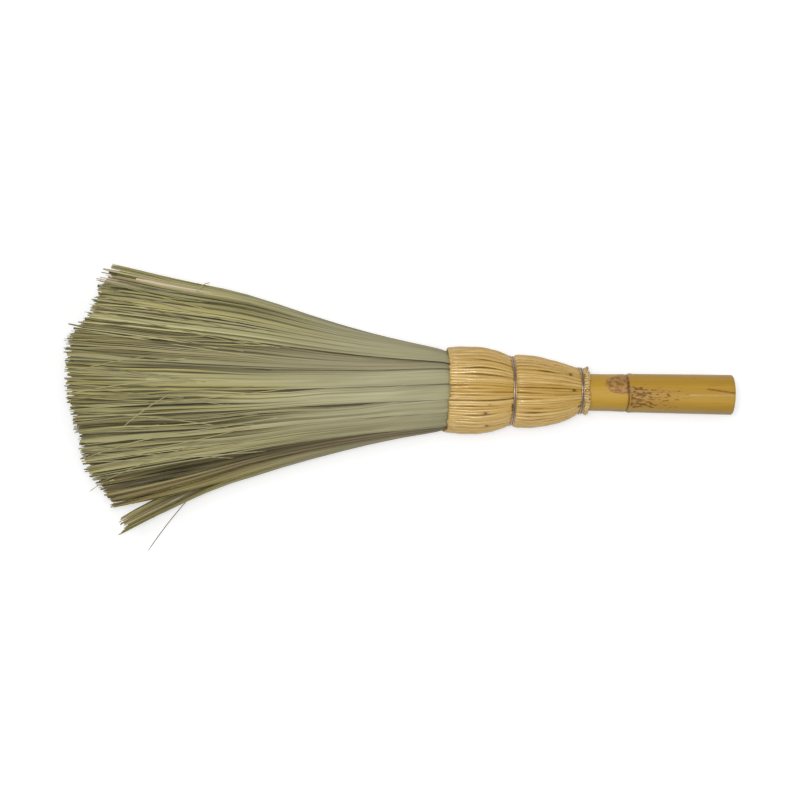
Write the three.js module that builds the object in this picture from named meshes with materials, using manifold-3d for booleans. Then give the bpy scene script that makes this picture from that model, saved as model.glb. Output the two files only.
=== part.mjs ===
// A short-handled leaf broom. Four bundles of split palm leaf are tied round the foot of a bamboo handle.
// A sleeve of straw stalks covers the tie: each stalk runs down from the tie, folds at the sleeve's rim and
// runs back up over itself, where two outer wires hold it.
//
// Millimetres, +Z up. The broom lies on Z = 0 with its handle along X: the leaf tips point to -X, the grip
// to +X. Sizes along the broom are counted from the sleeve's rim, which is x = 0 until the broom is set down.

import * as THREE from "three";
import { mergeVertices } from "three/addons/utils/BufferGeometryUtils.js";
import Module from "manifold-3d";

const wasm = await Module();
wasm.setup();

// Fits
const clearance = 0.3;
const floorBite = 0.5; // how much of the lowest leaf strands is flattened where the broom lies

// Bamboo handle
const footDiameter = 28;
const gripDiameter = 29.6;
const culmWall = 4.6;
const nodeRise = 0.7;
const nodeWidth = 5;
const septumThickness = 4;
const gripLength = 109; // clear of the sleeve
const nodeToGripEnd = 80;
const footInset = 6; // the foot stops this far inside the rim

// Sleeve of stalks
const stalkCount = 44;
const stalkArea = 7; // section of a stalk, kept as it is squeezed between its neighbours
const stalkEndArea = 2; // a stalk tapers to its cut end
const stalkCrown = 0.56; // width of a stalk's rounded back, as a share of its base
const stalkSideGap = 0.35;
const foldGap = 1.2; // between the two legs of a folded stalk
const bulgeAt = 19;
const bulgeRise = 1.4; // over the rim
const middleWireAt = 49;
const domeRise = 2.4; // over the middle wire's seat
const domeFullness = 3; // power of the dome's fall to the neck
const neckWireAt = 101;
const frillLength = 6.5; // cut ends past the neck wire
const frillFlare = 3;
const innerLegPastTie = 6;

// Wires
const wireDiameter = 1.1;
const tieWireDiameter = 1.3;
const wireTurnGap = 0.5;
const outerTurns = 2.16; // the ends lie side by side
const tieTurns = 2.2;
const loopSteps = 24;
const wireSides = 6;

// Leaf bundles
const leafAtTie = 3.2; // thickness of the leaf butts under the tie
const buttPastTie = 11;
const throatWidth = 52.8; // the leaves inside the rim
const throatDepth = 43.8;
const throatSwell = 2.9; // they spring out past the rim
const throatSwellLength = 8;
const coreRadius = 1.2;
const bundleGap = 0.4;
const sweepLength = 279; // rim to the longest tips
const fanWidth = 217;
const fanDepth = 74;
const bladeLength = 80; // unsplit leaf past the rim
const tipArc = 36; // how much shorter the fan's edges are than its middle
const tipRaggedness = 9;
const bladeWidthAtThroat = 10;

// Leaf strands
const strandPitch = 3.6; // at the tips
const strandFill = 0.8; // share of the pitch that a strand fills
const strandThickness = 1.3;
const strandRoot = 6; // length inside the unsplit blade
const strandRows = [0.95, 0.77, 0.59, 0.41, 0.23]; // shares of the fan's section
const lockWidth = 28; // of a loose lock of strands, along the outermost row at the fan's right edge
const lockBend = 160; // past the rim, where the lock leaves the rest
const lockSplay = 16; // how far the lock's tips stand away

// Nail through the handle's foot, which keeps the head from pulling off
const nailDiameter = 2.4;
const nailHeadDiameter = 5.5;
const nailHeadThickness = 1.2;
const nailProud = 2.5;
const nailAt = 22;
const nailSides = 10;

// Finishes
const bamboo = new THREE.MeshStandardMaterial({ color: 0xb98d3d, roughness: 0.42 });
const straw = new THREE.MeshStandardMaterial({ color: 0xd2ad62, roughness: 0.5 });
const leaf = new THREE.MeshStandardMaterial({ color: 0xa09a6c, roughness: 0.72 });
const galvanised = new THREE.MeshStandardMaterial({ color: 0x9a9494, roughness: 0.38, metalness: 0.9 });
const nailSteel = new THREE.MeshStandardMaterial({ color: 0x8c8986, roughness: 0.3, metalness: 1 });

// Places that follow from the sizes
const footRadius = footDiameter / 2;
const gripRadius = gripDiameter / 2;
const sleeveEnd = neckWireAt + frillLength;
const handleEnd = sleeveEnd + gripLength;
const culmNode = handleEnd - nodeToGripEnd;
const stalkStep = (2 * Math.PI) / stalkCount;
const chordFactor = 1 / Math.cos(Math.PI / loopSteps); // a loop's straight steps clear what they go round

// Half the length along the handle that a winding takes up.
const halfLength = (turns, diameter) => (turns * (diameter + wireTurnGap) + diameter) / 2 + clearance;

const tieHalfLength = halfLength(tieTurns, tieWireDiameter);
const wireHalfLength = halfLength(outerTurns, wireDiameter);

// Geometry helpers

// Signed volume of an indexed triangle list, positive when its faces point out.
function signedVolume(points, index) {
  let volume = 0;
  for (let i = 0; i < index.length; i += 3) {
    const [a, b, c] = [points[index[i]], points[index[i + 1]], points[index[i + 2]]];
    volume += a.dot(b.clone().cross(c)) / 6;
  }
  return volume;
}

// A closed body through rings of points, all with the same even count. Strips across the rings close its ends.
function loft(rings) {
  const sides = rings[0].length;
  const last = (rings.length - 1) * sides;
  const points = rings.flat();
  const index = [];
  const quad = (a, b, c, d) => index.push(a, b, c, a, c, d);
  for (let ring = 0; ring < last; ring += sides) {
    for (let i = 0; i < sides; i++) {
      const next = (i + 1) % sides;
      quad(ring + i, ring + next, ring + sides + next, ring + sides + i);
    }
  }
  for (let i = 0; i < sides / 2 - 1; i++) {
    const strip = [i, i + 1, sides - 2 - i, sides - 1 - i];
    quad(...strip.toReversed());
    quad(...strip.map((corner) => last + corner));
  }
  if (signedVolume(points, index) < 0) index.reverse();
  return new THREE.BufferGeometry().setFromPoints(points).setIndex(index);
}

function solidOf(geometry) {
  const bare = geometry.clone();
  bare.deleteAttribute("normal");
  bare.deleteAttribute("uv");
  const merged = mergeVertices(bare, 1e-4);
  const vertProperties = new Float32Array(merged.attributes.position.array);
  const triVerts = new Uint32Array(merged.index.array);
  return new wasm.Manifold(new wasm.Mesh({ numProp: 3, vertProperties, triVerts }));
}

function geometryOf(solid) {
  const { vertProperties, triVerts } = solid.getMesh();
  return new THREE.BufferGeometry()
    .setAttribute("position", new THREE.BufferAttribute(vertProperties, 3))
    .setIndex(new THREE.BufferAttribute(triVerts, 1));
}

function piece(name, geometry, material) {
  geometry.computeVertexNormals();
  const mesh = new THREE.Mesh(geometry, material);
  mesh.name = name;
  return mesh;
}

// A point on an oval round the handle's axis, with half width a along Y and half depth b along Z.
const onOval = (x, a, b, angle) => new THREE.Vector3(x, a * Math.cos(angle), b * Math.sin(angle));

// Outward normal of that oval.
function ovalNormal(a, b, angle) {
  return new THREE.Vector3(0, b * Math.cos(angle), a * Math.sin(angle)).normalize();
}

// Length along that oval for each radian of angle.
const ovalPace = (a, b, angle) => Math.hypot(a * Math.sin(angle), b * Math.cos(angle));

// Repeatable number from 0 to 1 for one strand.
function chance(seed) {
  const wave = Math.sin(seed * 12.9898) * 43758.5453;
  return wave - Math.floor(wave);
}

// The sleeve's radii, worked out from the handle outwards

// Thickness of a stalk of this section where its base lies on this radius.
const stalkThickness = (radius, area) => area / (radius * stalkStep - stalkSideGap);

const leafTieRadius = footRadius + clearance + leafAtTie;
const innerLegAtTie = leafTieRadius + clearance;
const innerLegTop = innerLegAtTie + stalkThickness(innerLegAtTie, stalkArea);
const tieRadius = (innerLegTop + clearance) * chordFactor + tieWireDiameter / 2;
const middleSeat = tieRadius + tieWireDiameter / 2 + clearance;
const neckSeat = footRadius + clearance;

const throatRadius = throatWidth / 2;
const throatFlattening = (throatWidth - throatDepth) / 2;
const foldThickness = stalkThickness(throatRadius + clearance, stalkArea);
const foldCentre = throatRadius + clearance + foldThickness + foldGap / 2;
const foldAt = foldThickness + foldGap / 2; // so that the fold's outside lies on x = 0
const rimSeat = foldCentre + foldGap / 2;

const tieEdge = middleWireAt - tieHalfLength;

// How much shallower than wide the head is: round from the tie up, oval at the rim.
function flattening(x) {
  const share = (tieEdge - x) / (tieEdge - foldAt);
  return throatFlattening * THREE.MathUtils.clamp(share, 0, 1);
}

// Section left of a stalk where its outer leg passes x.
const outerArea = (x) => THREE.MathUtils.mapLinear(x, foldAt, sleeveEnd, stalkArea, stalkEndArea);

// Radius that the outer legs lie on: a bulge from the rim to the middle wire, then a dome down to the neck.
function outerSeat(x) {
  const middleLeft = middleWireAt - wireHalfLength;
  const middleRight = middleWireAt + wireHalfLength;
  const neckLeft = neckWireAt - wireHalfLength;
  const neckRight = neckWireAt + wireHalfLength;
  const bulgeTop = rimSeat + bulgeRise;
  if (x < bulgeAt) return bulgeTop - bulgeRise * ((bulgeAt - x) / (bulgeAt - foldAt)) ** 2;
  if (x < middleLeft) {
    const along = (x - bulgeAt) / (middleLeft - bulgeAt);
    return THREE.MathUtils.lerp(bulgeTop, middleSeat, along ** 2);
  }
  if (x <= middleRight) return middleSeat;
  if (x < neckLeft) {
    const along = (x - middleRight) / (neckLeft - middleRight);
    const shoulder = middleSeat + domeRise * Math.sin(Math.PI * Math.sqrt(along));
    return THREE.MathUtils.lerp(shoulder, neckSeat, along ** domeFullness);
  }
  if (x <= neckRight) return neckSeat;
  return neckSeat + frillFlare * ((x - neckRight) / (sleeveEnd - neckRight));
}

const outerTop = (x) => outerSeat(x) + stalkThickness(outerSeat(x), outerArea(x));

const axisHeight = outerTop(bulgeAt) - flattening(bulgeAt); // the sleeve's bulge lies on the floor

// Stalks

// Where a stalk's centreline runs: each stop has its place, its thickness and the way its rounded back faces,
// as an angle in the plane of the stalk and the axis.
function stalkStops() {
  const inward = -Math.PI / 2;
  const outward = Math.PI / 2;
  const tieStop = (x) => {
    const thickness = innerLegTop - innerLegAtTie;
    return { x, radius: innerLegAtTie + thickness / 2, thickness, facing: inward };
  };
  const foldStop = (turn) => {
    const facing = inward - turn;
    const reach = foldGap / 2 + foldThickness / 2;
    const x = foldAt + reach * Math.cos(facing);
    return { x, radius: foldCentre + reach * Math.sin(facing), thickness: foldThickness, facing };
  };
  const outerStop = (x) => {
    const thickness = outerTop(x) - outerSeat(x);
    return { x, radius: outerSeat(x) + thickness / 2, thickness, facing: outward };
  };
  const between = (from, to, count) =>
    Array.from({ length: count }, (_, i) => from + ((to - from) * (i + 1)) / (count + 1));
  const seatEdges = (at) => [at - wireHalfLength, at + wireHalfLength];
  const [middleLeft, middleRight] = seatEdges(middleWireAt);
  const [neckLeft, neckRight] = seatEdges(neckWireAt);
  const innerLeg = [middleWireAt + tieHalfLength + innerLegPastTie, tieEdge].map(tieStop);
  const fold = [0, 0.3, 0.5, 0.7, 1].map((share) => foldStop(share * Math.PI));
  const bulge = [bulgeAt, ...between(bulgeAt, middleLeft, 1), middleLeft, middleRight];
  const dome = [...between(middleRight, neckLeft, 4), neckLeft, neckRight, sleeveEnd];
  return [...innerLeg, ...fold, ...[...bulge, ...dome].map(outerStop)];
}

function stalk(angle, stops) {
  const across = new THREE.Vector3();
  const axis = new THREE.Vector3(1, 0, 0);
  const rings = stops.map(({ x, radius, thickness, facing }) => {
    const flat = flattening(x);
    const outward = ovalNormal(radius, radius - flat, angle);
    const back = axis.clone().multiplyScalar(Math.cos(facing)).addScaledVector(outward, Math.sin(facing));
    across.crossVectors(axis, outward);
    const centre = onOval(x, radius, radius - flat, angle);
    const narrowest = radius - thickness / 2;
    const width = ovalPace(narrowest, narrowest - flat, angle) * stalkStep - stalkSideGap;
    const corner = (side, rise) =>
      centre
        .clone()
        .addScaledVector(across, (side * width) / 2)
        .addScaledVector(back, (rise * thickness) / 2);
    return [corner(-1, -1), corner(-stalkCrown, 1), corner(stalkCrown, 1), corner(1, -1)];
  });
  return loft(rings);
}

function stalks() {
  const stops = stalkStops();
  return Array.from({ length: stalkCount }, (_, i) => {
    const number = String(i + 1).padStart(2, "0");
    return piece(`sleeve_stalk_${number}`, stalk(i * stalkStep, stops), straw);
  });
}

// Wires

// A round wire wound round the axis about x = 0. Prints the least gap between its turns.
function winding(name, radius, diameter, turns) {
  const pitch = diameter + wireTurnGap;
  const steps = Math.round(turns * loopSteps);
  const start = -Math.PI / 2 - (turns % 1) * Math.PI; // the ends lie side by side underneath
  const centres = Array.from({ length: steps + 1 }, (_, i) => {
    const angle = start + (i * 2 * Math.PI) / loopSteps;
    return { angle, point: onOval(pitch * (i / loopSteps - turns / 2), radius, radius, angle) };
  });
  const rings = centres.map(({ angle, point }) => {
    const outward = ovalNormal(radius, radius, angle);
    return Array.from({ length: wireSides }, (_, side) => {
      const round = (side * 2 * Math.PI) / wireSides;
      return point
        .clone()
        .addScaledVector(outward, (diameter / 2) * Math.cos(round))
        .add(new THREE.Vector3((diameter / 2) * Math.sin(round), 0, 0));
    });
  });
  let leastGap = Infinity;
  centres.forEach(({ point }, i) =>
    centres.slice(i + loopSteps / 2).forEach((other) => {
      leastGap = Math.min(leastGap, point.distanceTo(other.point) - diameter);
    }),
  );
  console.log(`${name}: least gap between turns ${leastGap.toFixed(2)} mm`);
  return piece(name, loft(rings), galvanised);
}

function outerWire(name, at) {
  const seat = outerTop(at) + clearance;
  const wire = winding(name, seat * chordFactor + wireDiameter / 2, wireDiameter, outerTurns);
  wire.position.x = at;
  return wire;
}

function tieWire() {
  const wire = winding("inner_tie_wire", tieRadius, tieWireDiameter, tieTurns);
  wire.position.x = middleWireAt;
  return wire;
}

// Handle and nail

const nailTop = footRadius + nailProud;

function nail(extra) {
  const grow = (size) => size / 2 + extra;
  const profile = [
    [0, -nailTop - extra],
    [grow(nailDiameter), -nailTop - extra],
    [grow(nailDiameter), nailTop - extra],
    [grow(nailHeadDiameter), nailTop - extra],
    [grow(nailHeadDiameter), nailTop + nailHeadThickness + extra],
    [0, nailTop + nailHeadThickness + extra],
  ];
  const points = profile.map(([radius, height]) => new THREE.Vector2(radius, height));
  return new THREE.LatheGeometry(points, nailSides).rotateX(Math.PI / 2).translate(nailAt, 0, 0);
}

const nailHole = solidOf(nail(clearance));

function handle() {
  const footBore = footRadius - culmWall;
  const gripBore = gripRadius - culmWall;
  const septum = septumThickness / 2;
  const ridge = nodeWidth / 2;
  const profile = [
    [0, culmNode - septum],
    [footBore, culmNode - septum],
    [footBore, footInset],
    [footRadius, footInset],
    [footRadius, culmNode - ridge],
    [footRadius + nodeRise, culmNode],
    [gripRadius, culmNode + ridge],
    [gripRadius, handleEnd],
    [gripBore, handleEnd],
    [gripBore, culmNode + septum],
    [0, culmNode + septum],
  ];
  const points = profile.map(([radius, x]) => new THREE.Vector2(radius, x));
  const culm = new THREE.LatheGeometry(points, loopSteps).rotateZ(-Math.PI / 2);
  return piece("bamboo_handle", geometryOf(solidOf(culm).subtract(nailHole)), bamboo);
}

// Leaf bundles

const bundleSpread = Math.PI / 2; // four bundles
const swellRadius = throatRadius + throatSwell;
const swellDepth = throatDepth / 2 + throatSwell;
const floorInFrame = -axisHeight;
const tipCentre = floorInFrame + (strandRows[0] * fanDepth) / 2 + strandThickness / 2 - floorBite;

// The fan's section where it passes x: half width, half depth, and the height of its middle.
function fanSection(x) {
  const share = (-x - throatSwellLength) / (sweepLength - throatSwellLength);
  return {
    a: THREE.MathUtils.lerp(swellRadius, fanWidth / 2, share),
    b: THREE.MathUtils.lerp(swellDepth, fanDepth / 2, share),
    lift: THREE.MathUtils.lerp(0, tipCentre, share),
  };
}

// Sections of the unsplit leaf, from its butts to where it splits.
function bladeStations() {
  const inSleeve = (x, hollow) => {
    const share = THREE.MathUtils.clamp((tieEdge - x) / (tieEdge - foldAt), 0, 1);
    const a = THREE.MathUtils.lerp(leafTieRadius, throatRadius, share);
    return { x, a, b: a - flattening(x), lift: 0, hollow };
  };
  const footEdge = footInset - clearance;
  const onHandle = footRadius + clearance;
  return [
    inSleeve(middleWireAt + buttPastTie, onHandle),
    inSleeve(tieEdge, onHandle),
    inSleeve(footEdge, onHandle),
    inSleeve((footEdge - clearance) / 2, coreRadius),
    inSleeve(-clearance, coreRadius),
    { x: -throatSwellLength, ...fanSection(-throatSwellLength), hollow: coreRadius },
    { x: -bladeLength, ...fanSection(-bladeLength), hollow: coreRadius },
  ];
}

// Direction of the seam at this angle. A seam is flat, and meets its own angle where the leaf splits.
function seamDirection(angle) {
  const { a, b } = fanSection(-bladeLength);
  return Math.atan2(b * Math.sin(angle), a * Math.cos(angle));
}

// Angle on an oval that lies in a direction from its middle.
const ovalAngle = (a, b, direction) => Math.atan2(a * Math.sin(direction), b * Math.cos(direction));

// The unsplit leaf of one bundle: each blade is one flat of its outside.
function unsplitBlades(middleAngle) {
  const half = seamDirection(bundleSpread / 2);
  const quarterTurned = Math.abs(Math.sin(middleAngle)) > 0.5;
  const spread = quarterTurned ? Math.PI / 2 - half : half;
  const blades = Math.round((2 * spread * throatRadius) / bladeWidthAtThroat);
  const edges = Array.from({ length: blades + 1 }, (_, i) => (2 * i) / blades - 1);
  const rings = bladeStations().map(({ x, a, b, lift, hollow }) => {
    const [long, short] = quarterTurned ? [b, a] : [a, b];
    const place = (edge, oval, angle) => {
      const inset = Math.trunc(edge) * (bundleGap / 2);
      const seam = middleAngle + edge * spread;
      const shift = new THREE.Vector3(0, inset * Math.sin(seam), lift - inset * Math.cos(seam));
      return onOval(x, ...oval, middleAngle + edge * angle).add(shift);
    };
    const outside = edges.map((edge) => place(edge, [a, b], ovalAngle(long, short, spread)));
    const bore = hollow / Math.cos(spread / blades); // its flats clear the handle
    const inside = edges.map((edge) => place(edge, [bore, bore], spread));
    return [...outside, ...inside.toReversed()];
  });
  return loft(rings);
}

// Angle from a bundle's seam at which a row's strands begin, so that they root clear of the next bundle.
function seamInset(row) {
  const { a, b } = fanSection(-bladeLength);
  return strandThickness / 2 / ovalPace(row * a, row * b, bundleSpread / 2);
}

// Angles between two limits at even steps along the tip oval.
function evenAngles(from, to, row) {
  const fine = 200;
  const a = (row * fanWidth) / 2;
  const b = (row * fanDepth) / 2;
  const step = (to - from) / fine;
  const lengths = [0];
  for (let i = 0; i < fine; i++) {
    lengths.push(lengths[i] + ovalPace(a, b, from + (i + 0.5) * step) * step);
  }
  const count = Math.max(1, Math.round(lengths[fine] / strandPitch));
  const pitch = lengths[fine] / count;
  return Array.from({ length: count }, (_, i) => {
    const wanted = (i + 0.5) * pitch;
    const after = lengths.findIndex((length) => length >= wanted);
    const part = (wanted - lengths[after - 1]) / (lengths[after] - lengths[after - 1]);
    const angle = from + (after - 1 + part) * step;
    return { angle, turn: pitch / ovalPace(a, b, angle) };
  });
}

// Whether the strands at this angle of the outermost row are in the loose lock.
function inLock(angle) {
  const fromRightEdge = Math.abs(angle - Math.PI);
  return fromRightEdge * ovalPace(fanWidth / 2, fanDepth / 2, Math.PI) < lockWidth / 2;
}

// One strand from inside the unsplit leaf to its tip. It is straight, or bends to stand away to the right.
function strand(row, angle, turn, tipAt, splay) {
  const ring = (x) => {
    const { a, b, lift } = fanSection(x);
    const away = splay * THREE.MathUtils.clamp((x + lockBend) / (tipAt + lockBend), 0, 1);
    const [half, deep] = [row * a, row * b];
    const outward = ovalNormal(half, deep, angle);
    const across = new THREE.Vector3(1, 0, 0).cross(outward);
    const width = ovalPace(half, deep, angle) * turn * strandFill;
    const middle = new THREE.Vector3(0, -away, lift);
    const corner = (side, rise) =>
      onOval(x, half, deep, angle)
        .addScaledVector(across, (side * width) / 2)
        .addScaledVector(outward, (rise * strandThickness) / 2)
        .add(middle);
    return [corner(-1, -1), corner(-1, 1), corner(1, 1), corner(1, -1)];
  };
  const bends = splay > 0 ? [-bladeLength, -lockBend] : [-bladeLength];
  return loft([-bladeLength + strandRoot, ...bends, tipAt].map(ring));
}

// Everything under the floor that a bundle could reach.
function underFloor() {
  const deep = fanDepth;
  const slab = new THREE.BoxGeometry(3 * sweepLength, 2 * fanWidth, deep);
  return solidOf(slab.translate(-sweepLength, 0, floorInFrame - deep / 2));
}

function leafBundle(name, middleAngle) {
  const from = middleAngle - bundleSpread / 2;
  const to = middleAngle + bundleSpread / 2;
  let bundle = solidOf(unsplitBlades(middleAngle));
  strandRows.forEach((row, rank) => {
    const inset = seamInset(row);
    evenAngles(from + inset, to - inset, row).forEach(({ angle, turn }, i) => {
      const seed = 1 + i + 100 * rank + 1000 * middleAngle;
      const edge = row * Math.cos(angle);
      const tipAt = -sweepLength + tipArc * edge ** 2 + tipRaggedness * chance(seed);
      const splay = rank === 0 && inLock(angle) ? lockSplay : 0;
      bundle = bundle.add(solidOf(strand(row, angle, turn, tipAt, splay)));
    });
  });
  return piece(name, geometryOf(bundle.subtract(nailHole).subtract(underFloor())), leaf);
}

// The broom, set down with the middle of its footprint at the origin

const broom = new THREE.Group();
broom.add(handle());
broom.add(piece("foot_nail", nail(0), nailSteel));
broom.add(leafBundle("leaf_bundle_left", 0));
broom.add(leafBundle("leaf_bundle_top", Math.PI / 2));
broom.add(leafBundle("leaf_bundle_right", Math.PI));
broom.add(leafBundle("leaf_bundle_bottom", -Math.PI / 2));
broom.add(tieWire());
broom.add(...stalks());
broom.add(outerWire("middle_wire", middleWireAt));
broom.add(outerWire("neck_wire", neckWireAt));

const reach = new THREE.Box3().setFromObject(broom);
const footprint = reach.getCenter(new THREE.Vector3());
broom.position.set(-footprint.x, -footprint.y, -reach.min.z);

export default broom;
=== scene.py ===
"""Looks of a short-handled leaf broom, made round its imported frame.

Metres, +Z up. The broom lies along X with its leaf tips at -X. Inside this script a place on the broom is
counted from the middle of the sleeve's rim: along the handle towards the grip, then across, then up.
"""

import math

import bpy
import numpy as np
from mathutils import Matrix, Vector


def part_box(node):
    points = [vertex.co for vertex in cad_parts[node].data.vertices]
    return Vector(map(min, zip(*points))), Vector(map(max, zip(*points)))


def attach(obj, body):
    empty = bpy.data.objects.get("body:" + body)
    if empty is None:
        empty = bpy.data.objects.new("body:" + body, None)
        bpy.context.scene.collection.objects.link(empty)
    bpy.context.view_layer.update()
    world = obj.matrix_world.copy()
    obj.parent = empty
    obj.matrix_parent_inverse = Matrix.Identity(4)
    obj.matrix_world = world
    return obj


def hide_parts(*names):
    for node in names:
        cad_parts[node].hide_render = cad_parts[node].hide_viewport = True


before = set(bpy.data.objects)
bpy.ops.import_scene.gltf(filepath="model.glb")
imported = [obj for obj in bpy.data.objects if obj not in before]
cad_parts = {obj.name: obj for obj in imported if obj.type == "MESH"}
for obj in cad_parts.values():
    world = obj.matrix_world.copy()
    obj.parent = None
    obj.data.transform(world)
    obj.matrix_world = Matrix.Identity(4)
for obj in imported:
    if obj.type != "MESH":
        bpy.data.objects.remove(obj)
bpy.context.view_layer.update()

MM = 0.001
BODY = "root"
chance = np.random.default_rng(23)

# Places that the frame gives

stalk_low, stalk_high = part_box("sleeve_stalk_01")
handle_low, handle_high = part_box("bamboo_handle")
middle_low, middle_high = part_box("middle_wire")
neck_low, neck_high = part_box("neck_wire")
tips_low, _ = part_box("leaf_bundle_top")

rim = Vector((stalk_low.x, (handle_low.y + handle_high.y) / 2, (handle_low.z + handle_high.z) / 2))
sleeve_end = stalk_high.x - rim.x
handle_foot = handle_low.x - rim.x
handle_end = handle_high.x - rim.x
grip_radius = (handle_high.z - handle_low.z) / 2
middle_at = (middle_low.x + middle_high.x) / 2 - rim.x
neck_at = (neck_low.x + neck_high.x) / 2 - rim.x
middle_outside = (middle_high.z - middle_low.z) / 2
neck_outside = (neck_high.z - neck_low.z) / 2
bulge_radius = stalk_high.y - rim.y
fan_length = rim.x - tips_low.x

# Sizes of what is seen

# The camera
PICTURE_PIXELS = 800
PIXEL = 0.75 * MM  # on the broom, at the picture's middle
PICTURE_MIDDLE = rim + Vector((-34.8, -8.2, 0.0)) * MM
CAMERA_DISTANCE = 1.4
CAMERA_TILT = math.radians(3.2)  # towards the leaf tips
CAMERA_ROLL = math.radians(1.0)

# The sleeve
STRAWS = 88
STRAW_SIDES = 10
STRAW_RADIUS = 1.25 * MM
RIM_DROP = 0.7 * MM  # from the bulge to the rim
BULGE_AT = 19 * MM
DOME_RISE = 1.9 * MM
DOME_PEAK = 0.35  # power that sets how near the middle wire the dome is widest
DOME_FALL = 3.1  # power of the dome's fall to the neck
DOME_LEAN = 0.8  # how much that differs between the dome's two sides
NECK_SPARE = 0.5 * MM  # by which the straws at the neck stand out
NECK_LEAN = 1.0 * MM  # by which they lean to one side
FRILL_FLARE = 2.4 * MM
CREASE = 4.6 * MM  # where some straws are creased, past their fold
FOLD_RADIUS = 0.68 * MM
FOLD_THICKNESS = 0.65 * MM  # half of a straw's, pressed flat at the fold
FOLD_AT = FOLD_RADIUS + FOLD_THICKNESS  # from the rim to the fold's centre
INNER_LEG = 44 * MM
THROAT_FLATTENING = 4.5 * MM  # how much shallower than wide the rim is
TIE_EDGE = 48 * MM
STRAW_RINGS = 26  # spread evenly along a straw's outer leg
FOLD_RINGS = 9
CLOSE_RINGS = np.array([-1.6, -0.8, 0, 0.8, 1.6]) * MM  # more of them, round a knot and the crease
WIRE_RINGS = np.array([-3.4, -1.2, 1.2, 3.4]) * MM  # and on both sides of a wire
STRAW_TAPER = 0.16  # of a straw's radius, from the fold to its end
FOLD_WIDTH = 1.2 * MM  # half of a straw's, at the fold and inside it
FOLD_EASE = 9 * MM  # length in which a straw rounds out past the fold
INNER_LEAN = 0.19  # how fast the inner legs draw in
WIRE_PRESS = 0.3  # share by which a wire flattens the straws
PRESS_LENGTH = 2.6 * MM
KNOT_LENGTH = 1.3 * MM
CREASE_RISE = 0.6 * MM
CREASE_LENGTH = 1.1 * MM
DEEPEST_SINK = 1.5 * MM  # of a straw between its neighbours
STRAW_WAVE = 0.32 * MM

# Knots that show on top: place along, in mm, and angle in degrees
SEEN_KNOTS = ((27, 124), (29, 147), (39.5, 18), (59.5, 134), (93.5, 84), (91, 50), (89.5, 101))

# Wires
WIRE_RADIUS = 0.55 * MM
WIRE_TURNS = 2.16
WIRE_PITCH = 1.16 * MM
WIRE_SEAT = 1.2 * MM  # half the width that the two turns press flat
TURNS_APART = 1.6 * MM  # under the broom
WIRE_STEPS = 190
WIRE_SIDES = 12

# The handle
FOOT_RADIUS = 14.0 * MM
CULM_WALL = 4.6 * MM
CULM_NODE = handle_end - 80 * MM
CULM_SIDES = 144
GRIP_TAPER = 0.6 * MM
SCAR_LENGTH = 21 * MM
CRACK_LENGTH = 22 * MM
SCRATCH_LENGTH = 34 * MM
SPECKS_LENGTH = 62 * MM
SEPTUM = 2 * MM  # half its thickness
PINHOLE = 0.4 * MM  # radius that is left open in the middle of the septum
CULM_EDGE = 0.5 * MM
GRIP_SPARE = 0.4 * MM  # by which the grip's end is thicker than the frame's
NODE_GROOVE = 1.2 * MM  # how far before the node it runs

# The leaf fan
TIE_RADIUS = 17.5 * MM
SWELL = 1.2 * MM
SWELL_LENGTH = 4 * MM
# Half the fan's width, in mm, at distances past the rim
FAN_HALF_WIDTHS = ((0, 29.8), (50, 40), (110, 56.2), (155, 70), (200, 80.5), (284, 98))
FAN_HALF_DEPTH = 36 * MM
TIP_LIFT = 5.3 * MM
FAN_REACH = fan_length - 2 * MM
# How much shorter than that the tips are, in mm, at places across the fan
TIP_OUTLINE = (
    (-94, 29), (-70, 18), (-56, 10), (-40, 7), (-22, 1), (-8, -2),
    (32, -3), (49, 9), (64, 15), (82, 18), (89, 22), (96, 25),
)
HALF_WAY = 148 * MM
LAYERS = (1.0, 0.97, 0.93, 0.88, 0.82, 0.75, 0.66, 0.55, 0.42, 0.26)
BLADES_IN_LAYER = 15
BLADES_UNDER = 7  # in the outermost layer, past those listed next
# Each blade on top: angle of its lower edge in degrees at the rim, half way and at the tips, how tan the
# blade is, and the width in mm of the slot that opens along that edge
TOP_BLADES = (
    (48.5, 61, 62, 0.0, 0.5),
    (58, 79, 80, 0.36, -0.4),
    (81, 92.5, 93, 0.02, 1.3),
    (103.5, 104.5, 105, 0.0, 1.3),
    (124, 118, 116, 0.05, 0.4),
    (153, 134.5, 138, 0.1, 0.3),
    (167, 149, 168, 0.95, 0.3),
    (173, 162, 176, 0.2, 0.0),
)
FIRST_BLADE = math.radians(62)  # width of the first of them, which reaches round the fan's edge
SLOT_START = (5 * MM, 70 * MM)
BLADE_TUCK = 3.5 * MM  # how far a blade reaches under its neighbour
BLADE_RAISE = 1.3 * MM
STRIP_WIDTH = 1.25 * MM  # half way to the tips
STRIP_TIP_WIDTH = 1.25 * MM
STRIP_THICKNESS = 0.32 * MM
STRIP_SIDES = 4
STRIP_TWIST = math.radians(20)
STRIPS_IN_BLADE = (6, 34)
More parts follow.
